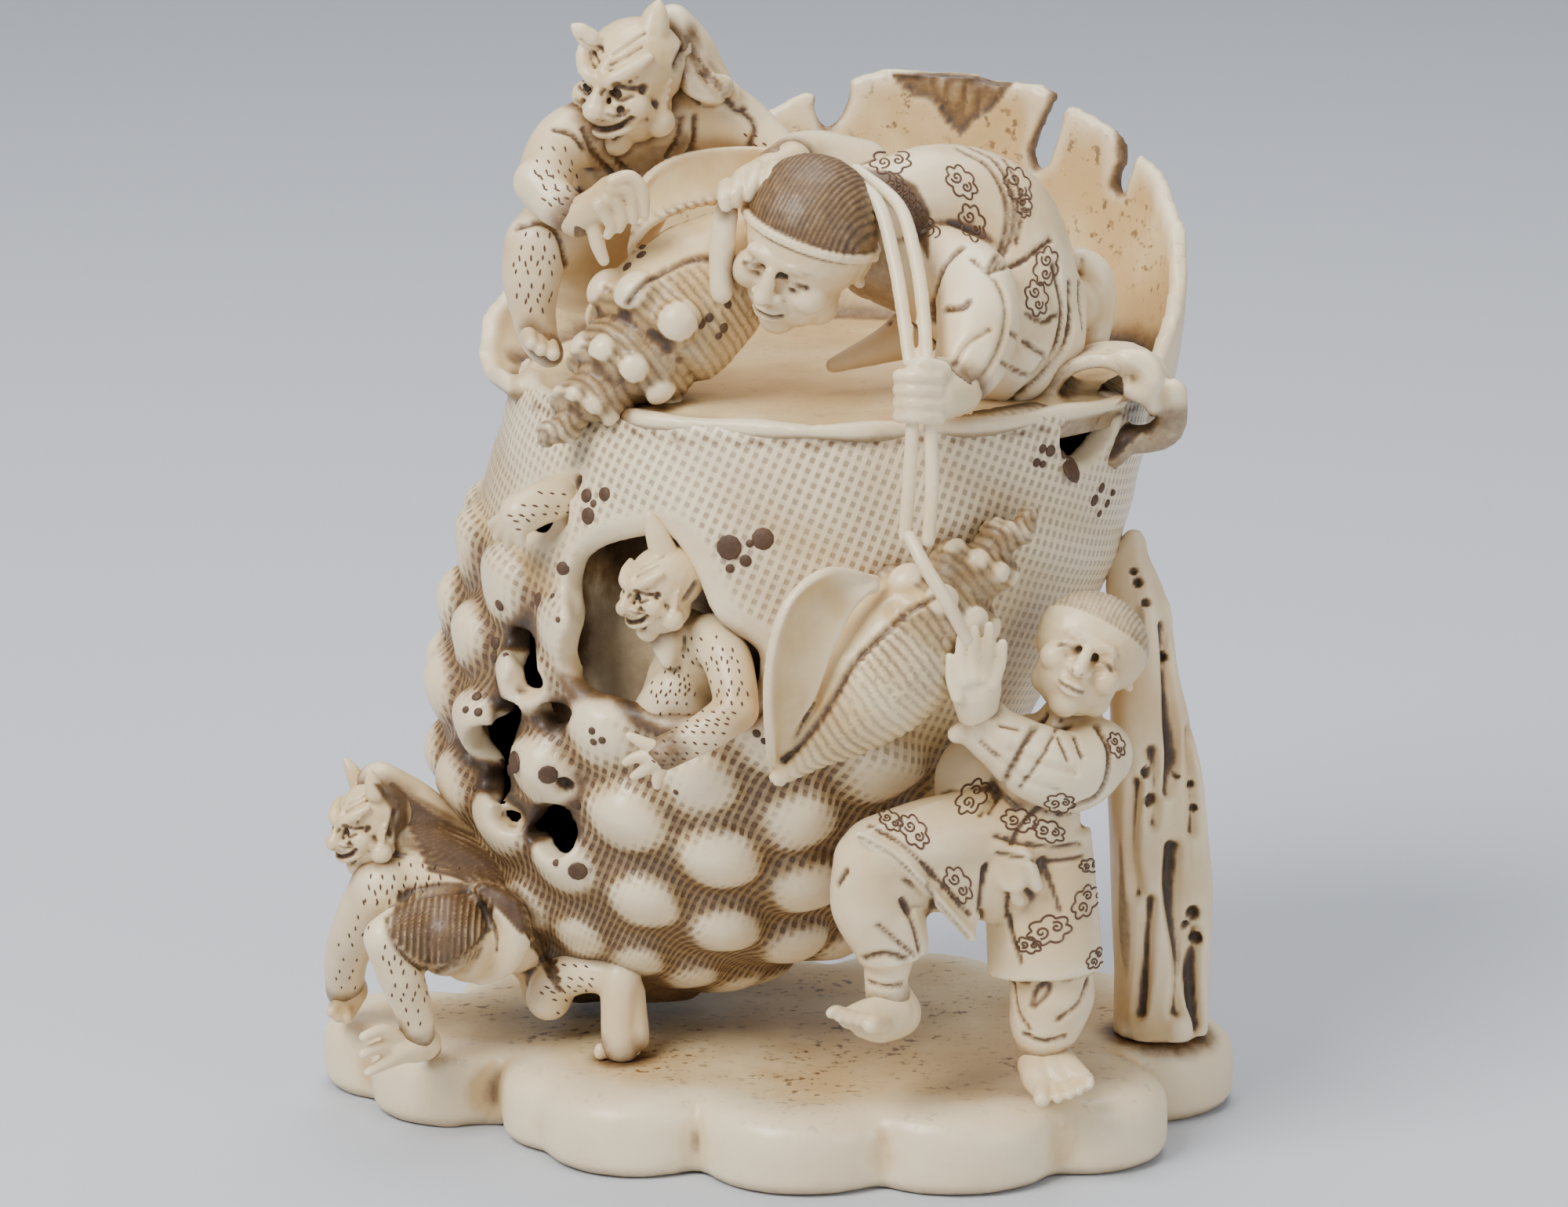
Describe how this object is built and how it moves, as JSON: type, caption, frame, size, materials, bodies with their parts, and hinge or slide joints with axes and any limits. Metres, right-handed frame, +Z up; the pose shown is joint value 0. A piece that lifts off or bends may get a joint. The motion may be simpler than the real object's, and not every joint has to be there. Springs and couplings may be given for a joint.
{
  "type": "carved ivory okimono group",
  "caption": "Carved ivory group: oni and fishermen gather conches on a great broken knobbed sea shell that stands on a cloud-edged base and leans on a tree stump.",
  "frame": {"origin": "middle of the base's flat underside, on the surface it stands on", "axes": "+Z up, +X to the right and -Y towards the viewer of the front, where the figures face"},
  "size_m": [0.1032, 0.0791, 0.1252],
  "materials": {
    "mottled_ivory": "polished ivory, warm, flecked and stained brown in the recesses",
    "white_ivory": "polished whiter ivory with engraved and stained pattern lines",
    "yellow_ivory": "polished ivory, yellowish at the thin lip, stained in the grooves",
    "spotted_ivory": "polished ivory with small stained dashes on the skin"
  },
  "bodies": {
    "root": {"cloud_base": "mottled_ivory", "great_shell": "mottled_ivory", "tree_stump": "mottled_ivory", "standing_man": "white_ivory", "upper_man": "white_ivory", "lower_conch": "yellow_ivory", "upper_conch": "yellow_ivory", "crawling_oni": "spotted_ivory", "window_oni": "spotted_ivory", "upper_oni": "spotted_ivory"}
  },
  "joints": []
}
